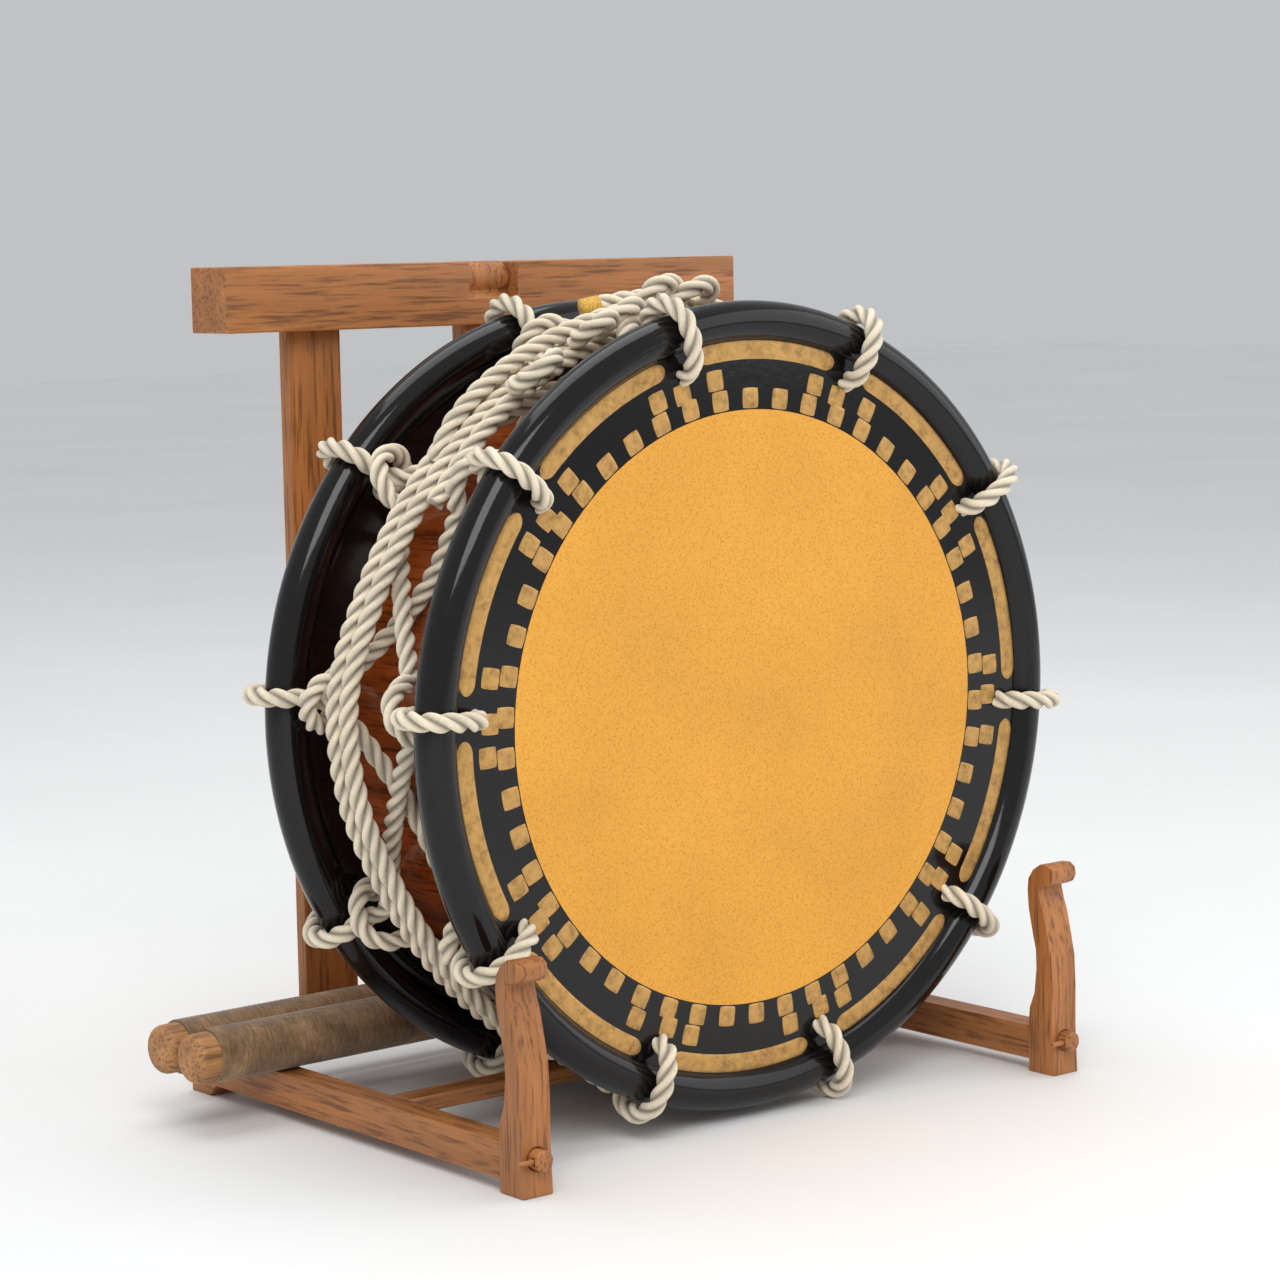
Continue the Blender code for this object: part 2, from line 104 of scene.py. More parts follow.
# Rope finish
STRAND_OFFSET = 0.536 * ROPE_RADIUS
STRAND_RADIUS = 0.464 * ROPE_RADIUS
VALLEY_RADIUS = 0.52 * ROPE_RADIUS
# Painted shade: depth below the rope's radius over which the shade painted into the valleys deepens
VALLEY_SHADE_DEPTH = 0.45 * ROPE_RADIUS
ROPE_SPACING = 0.0013

# Ornament
SKIN_EDGE = 0.1304
INNER_ROW = 0.1354
INNER_COUNT = 50
MIDDLE_ROW = 0.1432
MIDDLE_TURN = 1.0
OUTER_ROW = 0.1447
OUTER_TURN = 6.5
PAD_SIZE = 0.0045
BAND_INNER = 0.1522
BAND_OUTER = 0.1602
BAND_GAP = 3.4
BAND_STITCHES = 9
PAD_RISE = 0.0004
STITCH_DEPTH = 0.9 * PAD_RISE
FACE_LIFT = 0.00002

# Sticks
STICK_TIP = 0.012
NOSE_RADIUS = 0.0045
WRAP_INSET = 0.0110
WRAP_WALL = 0.0009
CLOTH_INSET = 0.00015
CLOTH_RIPPLE = 0.00012

# Stand
PIN_EDGE_SHARE = 0.2
EDGE_ANGLE = math.radians(40)
X_AXIS, Y_AXIS, Z_AXIS = 0, 1, 2
GRAIN = {
    "cross_rail": X_AXIS, "rear_rail": X_AXIS, "top_bar": X_AXIS,
    "left_foot_rail": Y_AXIS, "right_foot_rail": Y_AXIS,
    "left_front_post": Z_AXIS, "right_front_post": Z_AXIS,
    "left_upright": Z_AXIS, "right_upright": Z_AXIS, "hook_post": Z_AXIS}
PINS = {"left_wedge_pin": "left_pin", "right_wedge_pin": "right_pin"}

# How finely each surface is divided
DRUM_STEPS = 180
ROPE_STEPS = 30
TAPE_STEPS = 24
STICK_STEPS = 48
SHELL_STEPS = 24
PAD_STEPS = 13
BAND_STEPS = (150, 9)
WRAP_STEPS = 260

# Stage: place, size and watts of each lamp, and what all of them face
LAMPS = {
    "key": ((-1.1, -1.5, 1.7), 1.3, 26.0),
    "fill": ((1.6, -1.1, 1.0), 1.6, 9.0),
    "top": ((0.1, 0.3, 2.1), 1.5, 16.0)}
LAMP_AIM = (0.0, 0.0, 0.15)
SKY_COLOUR = (0.95, 0.97, 1.0, 1.0)
SKY_STRENGTH = 0.65
BACKDROP_COLOUR = (0.53, 0.54, 0.55, 1.0)
FLOOR_REACH = 8.0

# Camera, found by fitting the photograph
CAMERA_PLACE = (-0.987, -1.145, 0.3854)
CAMERA_YAW = 38.98
CAMERA_PITCH = 6.53
CAMERA_ROLL = -1.08
CAMERA_LENS = 98.03


class LacedDrumColours(bpy.types.PropertyGroup):
    """Colours that a user would change."""
    skin: bpy.props.FloatVectorProperty(
        name="Skin", description="Amber of the playing skin", subtype="COLOR",
        size=3, default=(0.77, 0.36, 0.045), min=0.0, max=1.0)
    gold: bpy.props.FloatVectorProperty(
        name="Gold", description="Gold of the ornament", subtype="COLOR",
        size=3, default=(0.52, 0.29, 0.085), min=0.0, max=1.0)
    lacquer: bpy.props.FloatVectorProperty(
        name="Lacquer", description="Black of the head's border", subtype="COLOR",
        size=3, default=(0.004, 0.0035, 0.004), min=0.0, max=1.0)
    rope: bpy.props.FloatVectorProperty(
        name="Rope", description="Cream of the cotton rope", subtype="COLOR",
        size=3, default=(0.90, 0.79, 0.61), min=0.0, max=1.0)
    body: bpy.props.FloatVectorProperty(
        name="Body", description="Varnished wood of the shell", subtype="COLOR",
        size=3, default=(0.42, 0.085, 0.014), min=0.0, max=1.0)
    wood: bpy.props.FloatVectorProperty(
        name="Stand Wood", description="Lighter streaks of the stand", subtype="COLOR",
        size=3, default=(0.50, 0.19, 0.052), min=0.0, max=1.0)
    cloth: bpy.props.FloatVectorProperty(
        name="Cloth", description="Cloth wrapped round the sticks", subtype="COLOR",
        size=3, default=(0.25, 0.145, 0.065), min=0.0, max=1.0)


class LacedDrumSizes(bpy.types.PropertyGroup):
    """Finish sizes that a user would change."""
    edge: bpy.props.FloatProperty(
        name="Edge", description="Rounding of the stand's edges", default=0.0009,
        min=0.0, max=0.004, unit="LENGTH")
    lay: bpy.props.FloatProperty(
        name="Lay", description="Length of one turn of a rope's strands", default=0.026,
        min=0.005, max=0.2, unit="LENGTH")


# Materials

class Nodes:
    """A short way to add and join shader nodes."""

    def __init__(self, name):
        self.material = bpy.data.materials.new(name)
        self.material.use_nodes = True
        self.tree = self.material.node_tree
        self.shader = self.tree.nodes["Principled BSDF"]

    def add(self, kind):
        return self.tree.nodes.new(kind)

    def join(self, output, target):
        self.tree.links.new(output, target)

    def place(self, scale, location=(0, 0, 0)):
        """Object coordinates, moved and then stretched."""
        source = self.add("ShaderNodeTexCoord")
        mapping = self.add("ShaderNodeMapping")
        mapping.inputs["Scale"].default_value = scale
        mapping.inputs["Location"].default_value = location
        self.join(source.outputs["Object"], mapping.inputs["Vector"])
        return mapping.outputs["Vector"]

    def noise(self, vector, scale, detail=4.0, rough=0.55):
        """Fractal noise between 0 and 1."""
        node = self.add("ShaderNodeTexNoise")
        node.inputs["Scale"].default_value = scale
        node.inputs["Detail"].default_value = detail
        node.inputs["Roughness"].default_value = rough
        self.join(vector, node.inputs["Vector"])
        return node.outputs["Fac"]

    def ramp(self, factor, *stops):
        """Colours blended between stops of (position, colour)."""
        node = self.add("ShaderNodeValToRGB")
        ramp = node.color_ramp
        while len(ramp.elements) < len(stops):
            ramp.elements.new(0.5)
        for element, (position, colour) in zip(ramp.elements, stops):
            element.position = position
            element.color = (*colour, 1.0)
        self.join(factor, node.inputs["Fac"])
        return node.outputs["Color"]

    def mix(self, factor, first, second, blend="MIX"):
        """Two colours blended; each value is a number, a colour or an output."""
        node = self.add("ShaderNodeMix")
        node.data_type = "RGBA"
        node.blend_type = blend
        sockets = (node.inputs[0], node.inputs[6], node.inputs[7])
        for value, socket in zip((factor, first, second), sockets):
            if isinstance(value, bpy.types.NodeSocket):
                self.join(value, socket)
            elif isinstance(value, tuple):
                socket.default_value = (*value, 1.0)
            else:
                socket.default_value = value
        return node.outputs[2]

    def bump(self, height, strength, distance):
        """Relief of the surface, by a height between 0 and 1."""
        node = self.add("ShaderNodeBump")
        node.inputs["Strength"].default_value = strength
        node.inputs["Distance"].default_value = distance
        self.join(height, node.inputs["Height"])
        self.join(node.outputs["Normal"], self.shader.inputs["Normal"])

    def colour(self, output):
        """Give the finish its colour."""
        self.join(output, self.shader.inputs["Base Color"])

    def set(self, **values):
        """Plain numbers of the finish, by the shader's names with _ for a space."""
        for key, value in values.items():
            self.shader.inputs[key.replace("_", " ")].default_value = value


def shade(colour, factor):
    """A darker or lighter colour of the same hue."""
    return tuple(channel * factor for channel in colour)


def wood_material(name, light, along, roughness, coat, contrast):
    """Streaks drawn out along one axis, with open pores of the same direction."""
    nodes = Nodes(name)
    stretch = [1.0, 1.0, 1.0]
    stretch[along] = 0.055
    vector = nodes.place(tuple(stretch))
    broad = nodes.noise(vector, 95.0, 5.0, 0.6)
    fine = nodes.noise(vector, 620.0, 3.0, 0.6)
    streaks = nodes.ramp(broad, (0.30, shade(light, contrast)), (0.52, shade(light, 0.78)),
                         (0.72, light))
    pores = nodes.ramp(fine, (0.36, (0.35, 0.32, 0.30)), (0.50, (1.0, 1.0, 1.0)))
    nodes.colour(nodes.mix(0.8, streaks, pores, "MULTIPLY"))
    nodes.bump(fine, 0.35, 0.0003)
    nodes.set(Roughness=roughness, Coat_Weight=coat, Coat_Roughness=0.08)
    return nodes.material


def head_material(colours):
    """Amber skin inside the skin edge and gloss black lacquer outside it."""
    nodes = Nodes("head_finish")
    vector = nodes.place((1, 0, 1), (-CENTRE[0], 0, -CENTRE[2]))
    length = nodes.add("ShaderNodeVectorMath")
    length.operation = "LENGTH"
    nodes.join(vector, length.inputs[0])
    inside = nodes.add("ShaderNodeMath")
    inside.operation = "LESS_THAN"
    inside.inputs[1].default_value = SKIN_EDGE
    nodes.join(length.outputs["Value"], inside.inputs[0])
    plain = nodes.place((1, 1, 1))
    cloudy = nodes.noise(plain, 14.0, 5.0, 0.6)
    speckle = nodes.noise(plain, 900.0, 2.0, 0.5)
    skin = tuple(colours.skin)
    amber = nodes.ramp(cloudy, (0.30, shade(skin, 0.90)), (0.55, skin), (0.75, shade(skin, 1.05)))
    dots = nodes.ramp(speckle, (0.34, (0.74, 0.66, 0.55)), (0.50, (1.0, 1.0, 1.0)))
    hide = nodes.mix(0.7, amber, dots, "MULTIPLY")
    nodes.colour(nodes.mix(inside.outputs[0], tuple(colours.lacquer), hide))
    rough = nodes.add("ShaderNodeMapRange")
    rough.inputs["To Min"].default_value = 0.10
    rough.inputs["To Max"].default_value = 0.50
    nodes.join(inside.outputs[0], rough.inputs["Value"])
    nodes.join(rough.outputs["Result"], nodes.shader.inputs["Roughness"])
    nodes.bump(nodes.noise(plain, 260.0, 4.0, 0.6), 0.12, 0.0003)
    nodes.set(Specular_IOR_Level=0.35)
    return nodes.material


def gold_material(colours):
    """Gold leaf, worn in cloudy patches."""
    nodes = Nodes("gold_finish")
    vector = nodes.place((1, 1, 1))
    worn = nodes.noise(vector, 260.0, 5.0, 0.65)
    gold = tuple(colours.gold)
    nodes.colour(nodes.ramp(worn, (0.30, shade(gold, 0.55)), (0.50, gold), (0.75, shade(gold, 1.25))))
    nodes.bump(worn, 0.4, 0.0002)
    nodes.set(Roughness=0.42, Metallic=0.45)
    return nodes.material


def rope_material(colours):
    """Cream cotton, with painted shade darkening the valleys between strands."""
    nodes = Nodes("cotton_rope")
    vector = nodes.place((1, 1, 1))
    fibre = nodes.noise(vector, 1500.0, 4.0, 0.7)
    soil = nodes.noise(vector, 60.0, 3.0, 0.6)
    rope = tuple(colours.rope)
    base = nodes.ramp(soil, (0.30, shade(rope, 0.80)), (0.60, rope))
    threads = nodes.ramp(fibre, (0.30, (0.78, 0.74, 0.68)), (0.60, (1.0, 1.0, 1.0)))
    # Painted shade: this mask darkens the rope's colour to a third in the valleys between strands
    valley_shade = nodes.add("ShaderNodeAttribute")
    valley_shade.attribute_name = "valley_shade"
    shaded = nodes.mix(valley_shade.outputs["Fac"], base, shade(rope, 0.34))
    nodes.colour(nodes.mix(0.8, shaded, threads, "MULTIPLY"))
    nodes.bump(fibre, 0.5, 0.0004)
    nodes.set(Roughness=0.9, Sheen_Weight=0.25, Sheen_Roughness=0.5)
    return nodes.material


def cloth_material(colours):
    """A coarse woven cloth with fine crossing threads and paler frays."""
    nodes = Nodes("stick_cloth")
    cloth = tuple(colours.cloth)
    around = nodes.noise(nodes.place((0.10, 1, 1)), 900.0, 3.0, 0.6)
    across = nodes.noise(nodes.place((1, 0.12, 0.12)), 1400.0, 3.0, 0.6)
    patch = nodes.noise(nodes.place((1, 1, 1)), 70.0, 4.0, 0.6)
    base = nodes.ramp(patch, (0.30, shade(cloth, 0.55)), (0.55, cloth), (0.75, shade(cloth, 1.7)))
    threads = nodes.ramp(across, (0.35, (0.45, 0.42, 0.38)), (0.58, (1.0, 1.0, 1.0)))
    nodes.colour(nodes.mix(0.85, base, threads, "MULTIPLY"))
    height = nodes.mix(0.5, around, across, "MULTIPLY")
    nodes.bump(height, 0.9, 0.0008)
    nodes.set(Roughness=0.95, Sheen_Weight=0.3, Sheen_Roughness=0.5)
    return nodes.material


def thread_material():
    """Ochre thread that whips a rope's end."""
    nodes = Nodes("whipping_thread")
    fibre = nodes.noise(nodes.place((1, 1, 1)), 1200.0, 3.0, 0.6)
    nodes.colour(nodes.ramp(fibre, (0.3, (0.42, 0.22, 0.03)), (0.6, (0.80, 0.50, 0.10))))
    nodes.bump(fibre, 0.5, 0.0003)
    nodes.set(Roughness=0.6)
    return nodes.material


def iron_material():
    """Plain dark iron, mottled."""
    nodes = Nodes("ring_iron")
    mottled = nodes.noise(nodes.place((1, 1, 1)), 120.0)
    nodes.colour(nodes.ramp(mottled, (0.3, (0.04, 0.035, 0.03)), (0.7, (0.12, 0.11, 0.10))))
    nodes.set(Roughness=0.6, Metallic=0.9)
    return nodes.material


# Surfaces

def unit(vector):
    """The same direction with length 1."""
    return vector / np.linalg.norm(vector)


def add_mesh(name, points, faces, material, replaced, body):
    """An object with its place in its mesh, riding on a body in place of CAD nodes."""
    mesh = bpy.data.meshes.new(name)
    mesh.from_pydata([tuple(p) for p in points.tolist()], [], [tuple(f) for f in faces.tolist()])
    mesh.update()
    mesh.shade_smooth()
    mesh.set_sharp_from_angle(angle=math.radians(50))
    mesh.materials.append(material)
    item = bpy.data.objects.new(name, mesh)
    bpy.context.collection.objects.link(item)
    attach(item, body)
    if replaced:
        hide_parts(*replaced)
    return item


def grid_faces(rows, columns, wrap):
    """Quads of a rows by columns grid, closed across its columns if wrap is set."""
    row = np.arange(rows - 1)[:, None]
    column = np.arange(columns if wrap else columns - 1)[None, :]
    following = (column + 1) % columns
    quads = np.stack([row * columns + column, row * columns + following,
                      (row + 1) * columns + following, (row + 1) * columns + column], axis=-1)
    return quads.reshape(-1, 4)


def orient(item):
    """Merge doubles and point the faces outwards."""
    solid = bmesh.new()
    solid.from_mesh(item.data)
    bmesh.ops.remove_doubles(solid, verts=solid.verts, dist=0.000002)
    bmesh.ops.recalc_face_normals(solid, faces=solid.faces)
    solid.to_mesh(item.data)
    solid.free()


def close_poles(item):
    """Fill the small rings left open at both ends, then point the faces outwards."""
    solid = bmesh.new()
    solid.from_mesh(item.data)
    bmesh.ops.holes_fill(solid, edges=[e for e in solid.edges if e.is_boundary], sides=0)
    solid.to_mesh(item.data)
    solid.free()
    orient(item)


def turned_points(profile, steps, depth, sign):
    """Each (radius, forward) pair swept round the drum's axis through equal angles.

    The sign is 1 where forward points to the front head and -1 where to the back.
    """
    angle = 2 * np.pi * np.arange(steps) / steps
    radius, forward = profile[:, 0][:, None], profile[:, 1][:, None]
    x = CENTRE[0] + radius * np.cos(angle)
    z = CENTRE[2] + radius * np.sin(angle)
    y = depth - sign * forward + 0 * angle
    return np.stack([x, y, z], axis=-1).reshape(-1, 3)


def head_profile():
    """The flat skin, then a circle arc round the ring and back along its inside."""
    flat = np.linspace(0.0001, FACE_EDGE, 28)
    arc = np.radians(np.linspace(150.0, SLIT_START - 360.0, 30))
    inner = ROLL_RADIUS - HIDE_THICKNESS
    outside = np.c_[RING_RADIUS + ROLL_RADIUS * np.cos(arc), ROLL_RADIUS * np.sin(arc)]
    inside = np.c_[RING_RADIUS + inner * np.cos(arc[::-1]), inner * np.sin(arc[::-1])]
    front = np.c_[flat, np.full_like(flat, FACE)]
    back = np.c_[flat[::-1], np.full_like(flat, FACE - HIDE_THICKNESS)]
    return np.vstack([front, outside, inside, back])


def make_head(name, depth, sign, material):
    """The head's profile swept round the drum's axis."""
    profile = head_profile()
    points = turned_points(profile, DRUM_STEPS, depth, sign)
    faces = grid_faces(len(profile), DRUM_STEPS, True)
    item = add_mesh(name + "_head_surface", points, faces, material, (name + "_head",), "drum")
    close_poles(item)


def on_face(radius, angle, sideways, rise, depth, sign):
    """Points at a radius and an angle on a head, moved sideways and raised off its face."""
    x = CENTRE[0] + radius * np.cos(angle) - sideways * np.sin(angle)
    z = CENTRE[2] + radius * np.sin(angle) + sideways * np.cos(angle)
    y = depth - sign * (FACE + FACE_LIFT + rise)
    return np.stack([x, y, z], axis=-1).reshape(-1, 3)


def stitch_dimple(across, along):
    """A bell-shaped dimple where a stitch draws the gilding down."""
    return STITCH_DEPTH * np.exp(-(across ** 2 + along ** 2) * 1.8)


def pad_points(radius, degrees, depth, sign, stitched):
    """A square with drawn-in corners: flat in the middle, falling as a sixth power at its edge."""
    share = np.linspace(-1.0, 1.0, PAD_STEPS)
    u, v = np.meshgrid(share, share, indexing="ij")
    squeeze = 1.0 - 0.075 * (u * u * v * v)
    reach = np.maximum(abs(u), abs(v))
    rise = PAD_RISE * np.sqrt(np.clip(1.0 - reach ** 6, 0.0, 1.0))
    if stitched:
        rise = rise - stitch_dimple(u * 2.6, v * 5.0)
    half = PAD_SIZE * squeeze
    return on_face(radius + v * half, math.radians(degrees), u * half, rise, depth, sign)


def band_points(start, end, depth, sign):
    """A strip between two angles, domed across, with a row of stitch dimples."""
    along = np.linspace(0.0, 1.0, BAND_STEPS[0])
    across = np.linspace(-1.0, 1.0, BAND_STEPS[1])
    a, v = np.meshgrid(along, across, indexing="ij")
    ends = np.clip(np.minimum(a, 1 - a) * 14.0, 0.0, 1.0)
    width = np.sqrt(np.clip(1.0 - (1.0 - ends) ** 2, 0.02, 1.0))
    middle = (BAND_INNER + BAND_OUTER) / 2
    radius = middle + v * width * (BAND_OUTER - BAND_INNER) / 2
    phase = (a * BAND_STITCHES) % 1.0 - 0.5
    rise = PAD_RISE * np.sqrt(np.clip(1.0 - v ** 6, 0.0, 1.0)) * np.clip(ends * 3, 0, 1)
    rise = rise - stitch_dimple(phase * 5.0, v * 2.2)
    return on_face(radius, np.radians(start + (end - start) * a), 0.0, rise, depth, sign)


def make_gilding(name, depth, sign, material):
    """All gold pads and band pieces of one head, in one mesh."""
    points, faces, offset = [], [], 0

    def add(cloud, rows, columns):
        nonlocal offset
        points.append(cloud)
        faces.append(grid_faces(rows, columns, False) + offset)
        offset += len(cloud)

    def add_pad(radius, degrees, stitched):
        add(pad_points(radius, degrees, depth, sign, stitched), PAD_STEPS, PAD_STEPS)

    for index in range(INNER_COUNT):
        add_pad(INNER_ROW, DRUM_TURN + 360.0 * index / INNER_COUNT, True)
    for index in range(HOLE_COUNT):
        hole = DRUM_TURN + HOLE_STEP * index
        add(band_points(hole + BAND_GAP, hole + HOLE_STEP - BAND_GAP, depth, sign), *BAND_STEPS)
        add_pad(MIDDLE_ROW, hole + MIDDLE_TURN, True)
        for turn in (-OUTER_TURN, OUTER_TURN):
            add_pad(OUTER_ROW, hole + turn, False)
    item = add_mesh(name + "_gilding", np.vstack(points), np.vstack(faces), material, (), "drum")
    face_outwards(item, sign)


def face_outwards(item, sign):
    """Turn every face of a flat piece to the head's outer side."""
    solid = bmesh.new()
    solid.from_mesh(item.data)
    wrong = [face for face in solid.faces if face.normal.y * sign > 0]
    bmesh.ops.reverse_faces(solid, faces=wrong)
    solid.to_mesh(item.data)
    solid.free()


# Rope routes, as in the part

def drum_points(stops):
    """Places on the drum from radius, degrees round its axis and depth behind the front ring."""
    stops = np.array(stops)
    angle = np.radians(stops[:, 1])
    return np.stack([CENTRE[0] + stops[:, 0] * np.cos(angle), FRONT_DEPTH + stops[:, 2],
                     CENTRE[2] + stops[:, 0] * np.sin(angle)], axis=-1)


def rim_route():
    """From the hole, over the roll and down its far side."""
    route = [(0.0, 0.0016, -0.0056), (0.0, 0.0052, -0.0110)]
    for degrees in (-100, -55, -15, 25, 60, 90):
        angle = math.radians(degrees)
        route.append((0.0, HOLE_INSET + RIM_REACH * math.cos(angle), RIM_REACH * math.sin(angle)))
    route.append((0.0003, 0.0134, 0.0178))
    route.append((0.0020, 0.0100, 0.0240))
    route.append((0.0070, 0.0075, 0.0305))
    return route


def hitch_route():
    """From the hole, round the outside of the rim leg and away from it."""
    return [
        (0.0000, 0.0003, 0.0045), (0.0036, 0.0008, 0.0100), (0.0098, 0.0056, 0.0136),
        (0.0114, 0.0132, 0.0172), (0.0072, 0.0204, 0.0212), (0.0002, 0.0234, 0.0246),
        (-0.0068, 0.0204, 0.0280), (-0.0112, 0.0136, 0.0312), (-0.0142, 0.0080, 0.0350)]


def on_drum(local, degrees, side, front):
    """A point given sideways, outside and behind a hole, as radius, degrees and depth."""
    sideways, outside, behind = local
    radius = HOLE_CIRCLE + outside
    depth = behind if front else RING_SPACING - behind
    return radius, degrees + math.degrees(side * sideways / radius), depth


def leg(start, end, middle):
    """The slanting run between two loops, drawn in under the winding."""
    points = []
    for share in (0.25, 0.5, 0.75):
        drawn = 1.0 if share == 0.5 else 0.75
        points.append((start[0] + (middle - start[0]) * drawn, start[1] + (end[1] - start[1]) * share,
                       start[2] + (end[2] - start[2]) * share))
    return points


def lacing_route(start_front):
    """One rope from hole to hole, front and back by turns, round to where it starts."""
    middle = INNER_ROUTE if start_front else OUTER_ROUTE
    stops = []
    for index in range(HOLE_COUNT):
        front = (index % 2 == 0) == start_front
        side = 1 if index % 2 else -1
        degrees = DRUM_TURN + HOLE_STEP * index
        rim = [on_drum(p, degrees, side, front) for p in rim_route()]
        hole = [on_drum((0.0, 0.0, -0.0010), degrees, side, front)]
        hitch = [on_drum(p, degrees, side, front) for p in hitch_route()]
        stops.append(hitch[::-1] + hole + rim if side > 0 else rim[::-1] + hole + hitch)
    route = []
    for index, stop in enumerate(stops):
        route += stop
        radius, degrees, depth = stops[(index + 1) % HOLE_COUNT][0]
        lap = 360.0 if index == HOLE_COUNT - 1 else 0.0
        route += leg(stop[-1], (radius, degrees + lap, depth), middle)
    return drum_points(route + [stops[0][0]])


def bump(degrees, centre, width):
    """A bell curve of the angle between two directions."""
    away = (degrees - centre + 180.0) % 360.0 - 180.0
    return np.exp(-(away / width) ** 2)


def winding_route():
    """Turns round the waist that drift forward, with swells at the side and below."""
    turned_by = np.linspace(0.0, 360.0 * WINDING_TURNS, int(WINDING_POINTS * WINDING_TURNS) + 1)
    degrees = WINDING_START + turned_by
    depth = WINDING_DEPTH - WINDING_PITCH * turned_by / 360.0
    depth = depth + 0.0120 * bump(degrees, 180.0, 20.0) - 0.0070 * bump(degrees, 270.0, 34.0)
    radius = WINDING_RADIUS + 0.0030 * bump(degrees, 180.0, 24.0)
    return drum_points(np.c_[radius, degrees, depth])


def smooth_path(points):
    """Catmull-Rom through the points, then even steps along its length."""
    padded = np.vstack([2 * points[0] - points[1], points, 2 * points[-1] - points[-2]])
    a, b, c, d = padded[:-3], padded[1:-2], padded[2:-1], padded[3:]
    t = (np.arange(10) / 10.0)[None, :, None]
    a, b, c, d = (part[:, None, :] for part in (a, b, c, d))
    curve = 0.5 * (2 * b + (c - a) * t + (2 * a - 5 * b + 4 * c - d) * t ** 2
                   + (3 * b - a - 3 * c + d) * t ** 3)
    curve = np.vstack([curve.reshape(-1, 3), points[-1]])
    length = np.r_[0.0, np.cumsum(np.linalg.norm(np.diff(curve, axis=0), axis=1))]
    even = np.linspace(0.0, length[-1], int(length[-1] / ROPE_SPACING))
    return np.stack([np.interp(even, length, curve[:, i]) for i in range(3)], axis=-1), even


def carried_normals(path):
    """Normals carried along the path, each turned as little as its tangent needs."""
    tangent = np.gradient(path, axis=0)
    tangent /= np.linalg.norm(tangent, axis=1)[:, None]
    normal = np.zeros_like(path)
    normal[0] = unit(np.cross(tangent[0], (0.3, 0.5, 0.8)))
    for index in range(1, len(path)):
        last = normal[index - 1]
        normal[index] = unit(last - tangent[index] * np.dot(last, tangent[index]))
    return normal, np.cross(tangent, normal)


def rings(path, normal, side, radius, angle):
    """Points at a radius and an angle round each place of a path."""
    return (path[:, None, :] + radius[..., None] * (
        np.cos(angle)[..., None] * normal[..., None, :] + np.sin(angle)[..., None] * side[..., None, :]))


def even_angles(steps):
    """Equal angles round a full turn."""
    return 2 * np.pi * np.arange(steps) / steps


def bight_route(degrees, depth, width, height, lean):
    """A hairpin of rope that comes out of the winding and goes back in."""
    turn = np.linspace(-0.25 * np.pi, 1.25 * np.pi, 11)
    radius = WINDING_RADIUS + BIGHT_LIFT + height * (0.5 + 0.5 * np.sin(turn))
    angle = degrees + np.degrees(width * np.cos(turn) / WINDING_RADIUS)
    return drum_points(np.c_[radius, angle, depth - lean * np.sin(turn)])


def crossing_route(start, end, depth_start, depth_end, radius):
    """A pass laid over the winding; a sixth power of its length dips both ends under it."""
    share = np.linspace(0.0, 1.0, 14)
    lift = radius - 0.008 * (2 * share - 1) ** 6
    return drum_points(np.c_[lift, start + (end - start) * share,
                             depth_start + (depth_end - depth_start) * share])


def make_rope(name, route, lay, material, replaced):
    """Three round strands twisted together: the outline of three touching circles."""
    path, along = smooth_path(route)
    normal, side = carried_normals(path)
    around = even_angles(ROPE_STEPS)
    nearest = (around + np.pi / 3) % (2 * np.pi / 3) - np.pi / 3
    outline = STRAND_OFFSET * np.cos(nearest) + np.sqrt(
        np.clip(STRAND_RADIUS ** 2 - (STRAND_OFFSET * np.sin(nearest)) ** 2, 0.0, None))
    outline = np.maximum(outline, VALLEY_RADIUS)
    twist = around[None, :] + 2 * np.pi * along[:, None] / lay
    points = rings(path, normal, side, outline[None, :], twist)
    faces = grid_faces(len(path), ROPE_STEPS, True)
    item = add_mesh(name + "_strands", points.reshape(-1, 3), faces, material, replaced, "drum")
    # Painted shade: how deep each point lies in a valley between strands, stored so the rope's colour darkens
    # there
    valley_shade = np.clip((ROPE_RADIUS - outline) / VALLEY_SHADE_DEPTH, 0.0, 1.0) ** 1.5
    layer = item.data.attributes.new("valley_shade", "FLOAT", "POINT")
    layer.data.foreach_set("value", np.tile(valley_shade, len(path)).astype(np.float32))
    close_poles(item)


def make_tape(name, path, material):
    """A short sleeve of thread turns: a circle whose radius ripples along it."""
    normal, side = carried_normals(path)
    radius = ROPE_RADIUS * (1.02 + 0.05 * np.sin(np.arange(len(path)) * 2.1))
    points = rings(path, normal, side, radius[:, None], even_angles(TAPE_STEPS))
    faces = grid_faces(len(path), TAPE_STEPS, True)
    item = add_mesh(name, points.reshape(-1, 3), faces, material, (), "drum")
    close_poles(item)


def make_knots(lay, material, whipping):
    """The bights, crossing passes and whipped end on top of the winding."""
    for index, values in enumerate(BIGHTS):
        make_rope("bight_%d" % (index + 1), bight_route(*values), lay, material, ())
    upper = crossing_route(72.0, 138.0, 0.041, 0.057, UPPER_PASS_RADIUS)
    make_rope("upper_pass", upper, lay, material, ())
    tail = crossing_route(90.0, 106.0, 0.050, 0.064, TAIL_RADIUS)[:TAIL_POINTS]
    make_rope("rope_tail", tail, lay, material, ())
    onward = unit(tail[-1] - tail[-2])
    make_tape("whipped_end", tail[-1] + onward * np.linspace(-0.002, 0.006, 20)[:, None], whipping)


